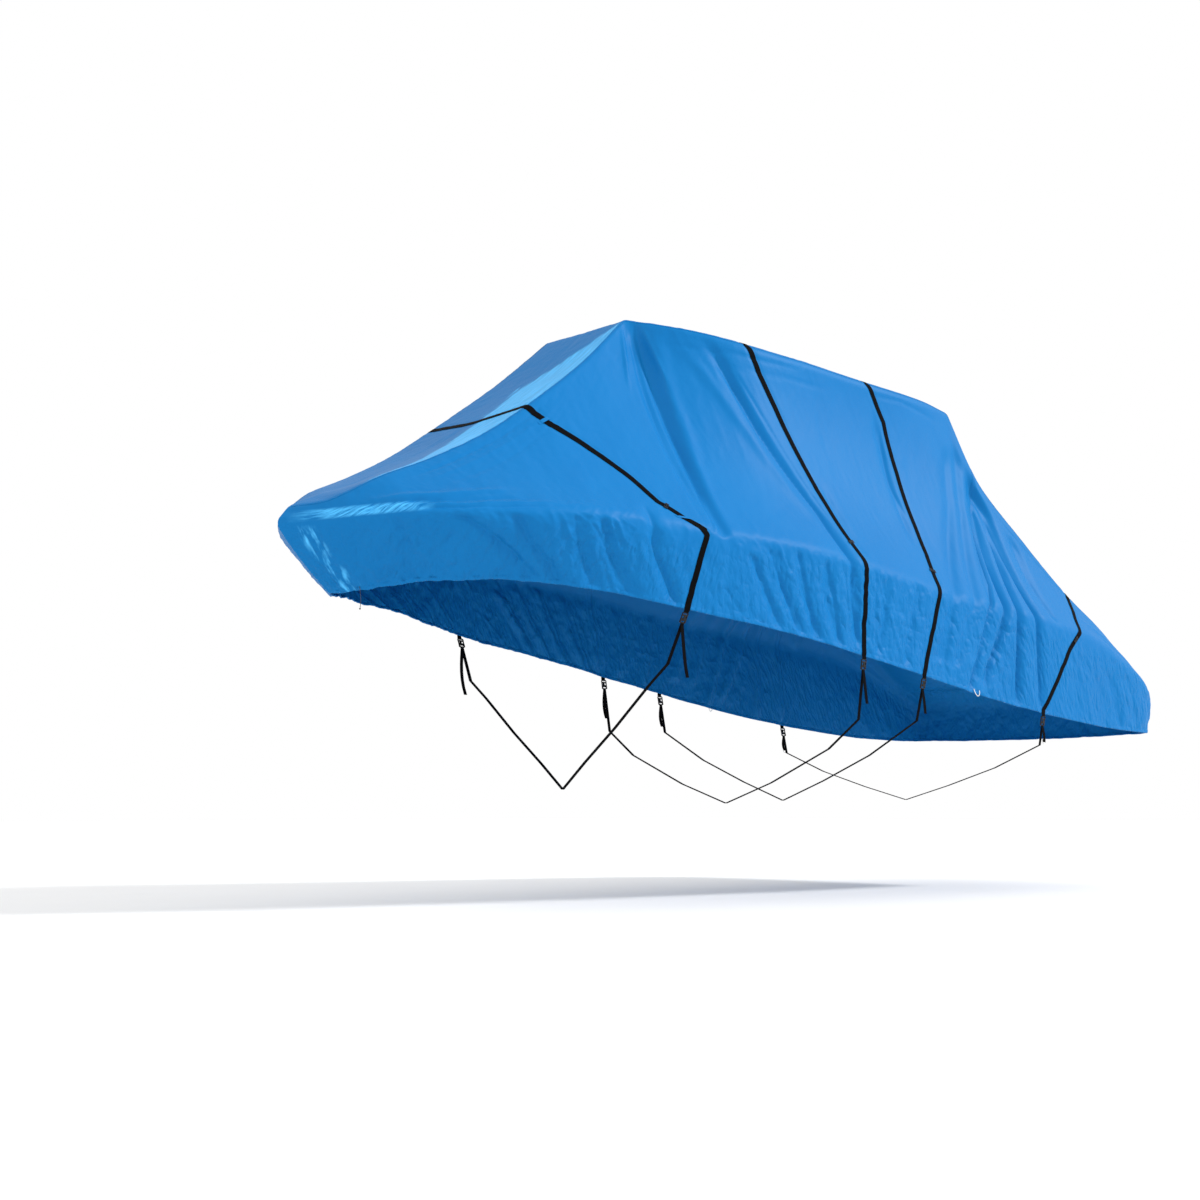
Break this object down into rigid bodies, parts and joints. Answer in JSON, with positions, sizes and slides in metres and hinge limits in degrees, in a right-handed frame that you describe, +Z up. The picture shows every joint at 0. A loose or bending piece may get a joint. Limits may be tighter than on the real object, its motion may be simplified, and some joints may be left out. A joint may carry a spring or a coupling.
{
  "type": "t-top boat cover",
  "caption": "Fitted cloth cover for an open fishing boat with a raised T-top roof, held down by webbing straps that pass over it and under the hull.",
  "frame": {"origin": "on the boat's centreline, on the underside of the roof cloth, where the top of the boat holds the cover up", "axes": "+X aft from bow to stern, +Y to starboard, +Z up"},
  "size_m": [7.112, 2.4793, 2.9513],
  "materials": {
    "cover_cloth": "matt coated polyester",
    "webbing": "woven black webbing",
    "buckle_plastic": "moulded black plastic",
    "white_cord": "white braided cord",
    "black_cord": "black braided cord",
    "ring_metal": "bright steel wire"
  },
  "bodies": {
    "root": {"cover": "cover_cloth", "over_strap_1": "webbing", "belly_strap_1": "webbing", "tail_strap_1_port": "webbing", "buckle_strap_1_port": "buckle_plastic", "keeper_strap_1_port": "buckle_plastic", "tail_strap_1_starboard": "webbing", "buckle_strap_1_starboard": "buckle_plastic", "keeper_strap_1_starboard": "buckle_plastic", "over_strap_2": "webbing", "belly_strap_2": "webbing", "tail_strap_2_port": "webbing", "buckle_strap_2_port": "buckle_plastic", "keeper_strap_2_port": "buckle_plastic", "tail_strap_2_starboard": "webbing", "buckle_strap_2_starboard": "buckle_plastic", "keeper_strap_2_starboard": "buckle_plastic", "over_strap_3": "webbing", "belly_strap_3": "webbing", "tail_strap_3_port": "webbing", "buckle_strap_3_port": "buckle_plastic", "keeper_strap_3_port": "buckle_plastic", "tail_strap_3_starboard": "webbing", "buckle_strap_3_starboard": "buckle_plastic", "keeper_strap_3_starboard": "buckle_plastic", "over_strap_4": "webbing", "belly_strap_4": "webbing", "tail_strap_4_port": "webbing", "buckle_strap_4_port": "buckle_plastic", "keeper_strap_4_port": "buckle_plastic", "tail_strap_4_starboard": "webbing", "buckle_strap_4_starboard": "buckle_plastic", "keeper_strap_4_starboard": "buckle_plastic", "belt_loop_1_port": "cover_cloth", "belt_loop_1_starboard": "cover_cloth", "belt_loop_2_port": "cover_cloth", "belt_loop_2_starboard": "cover_cloth", "ring_strap_4_port": "ring_metal", "hem_cord_port": "white_cord", "ring_strap_4_starboard": "ring_metal", "hem_cord_starboard": "white_cord", "bow_cord": "black_cord", "bow_cord_knot": "black_cord"}
  },
  "joints": []
}
